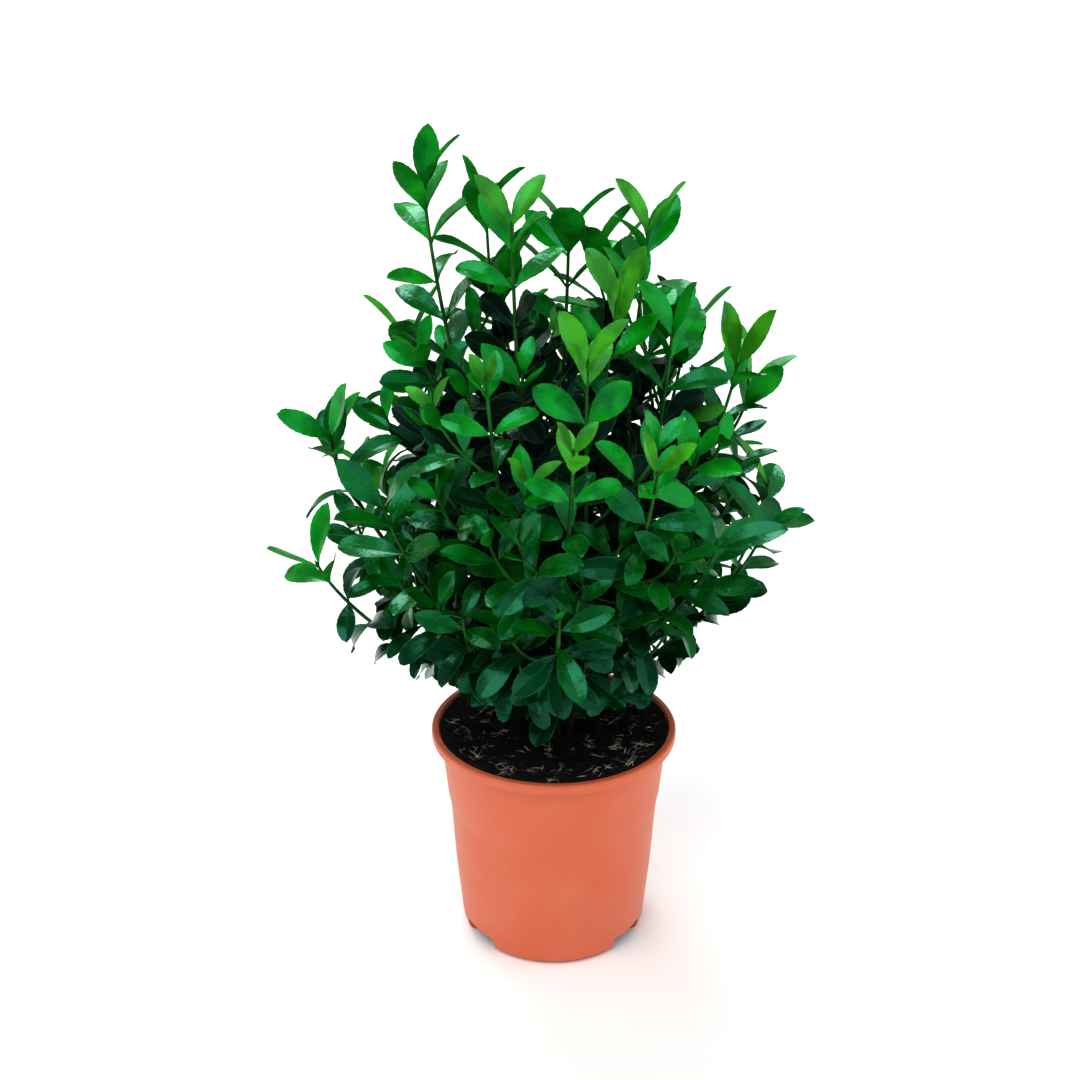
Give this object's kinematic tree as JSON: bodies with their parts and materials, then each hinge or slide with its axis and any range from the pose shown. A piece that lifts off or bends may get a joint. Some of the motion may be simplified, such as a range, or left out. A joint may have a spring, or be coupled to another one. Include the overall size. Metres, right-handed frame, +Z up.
{
  "type": "potted japanese spindle shrub",
  "caption": "Bushy evergreen Japanese spindle shrub with upright stems and glossy opposite leaves, standing in a terracotta-coloured plastic nursery pot.",
  "frame": {"origin": "middle of the pot's flat underside, on the surface the pot stands on", "axes": "+Z up along the pot's axis, -Y towards the side seen in the picture, +X to the right as seen there"},
  "size_m": [0.4063, 0.3941, 0.6255],
  "materials": {
    "pot": "satin moulded polypropylene, terracotta orange",
    "peat": "dark crumbly potting peat",
    "bark": "thin grey-brown young bark with fine furrows",
    "foliage": "waxy leathery leaves, dark green with lime shoot tips"
  },
  "bodies": {
    "root": {"pot": "pot", "peat": "peat", "stem_left": "bark", "stem_centre": "bark", "stem_front": "bark", "stem_right": "bark", "stem_back_left": "bark", "stem_back_right": "bark", "bough_tall_left": "bark", "bough_upper_left": "bark", "bough_far_left": "bark", "bough_low_left": "bark", "bough_centre_left": "bark", "bough_centre_back": "bark", "bough_right_tall": "bark", "bough_front_left": "bark", "bough_front_lime": "bark", "bough_front_centre": "bark", "bough_front_right": "bark", "bough_right_middle": "bark", "bough_far_right": "bark", "bough_low_right": "bark", "bough_right_front": "bark", "bough_back_left": "bark", "bough_back_far_left": "bark", "bough_back_low_left": "bark", "bough_back_middle": "bark", "bough_back_right": "bark", "bough_back_far_right": "bark", "bough_back_low_right": "bark", "bough_back_low": "bark", "foliage_tall_left": "foliage", "foliage_upper_left": "foliage", "foliage_far_left": "foliage", "foliage_low_left": "foliage", "foliage_centre_left": "foliage", "foliage_centre_back": "foliage", "foliage_right_tall": "foliage", "foliage_front_left": "foliage", "foliage_front_lime": "foliage", "foliage_front_centre": "foliage", "foliage_front_right": "foliage", "foliage_right_middle": "foliage", "foliage_far_right": "foliage", "foliage_low_right": "foliage", "foliage_right_front": "foliage", "foliage_back_left": "foliage", "foliage_back_far_left": "foliage", "foliage_back_low_left": "foliage", "foliage_back_middle": "foliage", "foliage_back_right": "foliage", "foliage_back_far_right": "foliage", "foliage_back_low_right": "foliage", "foliage_back_low": "foliage"}
  },
  "joints": []
}
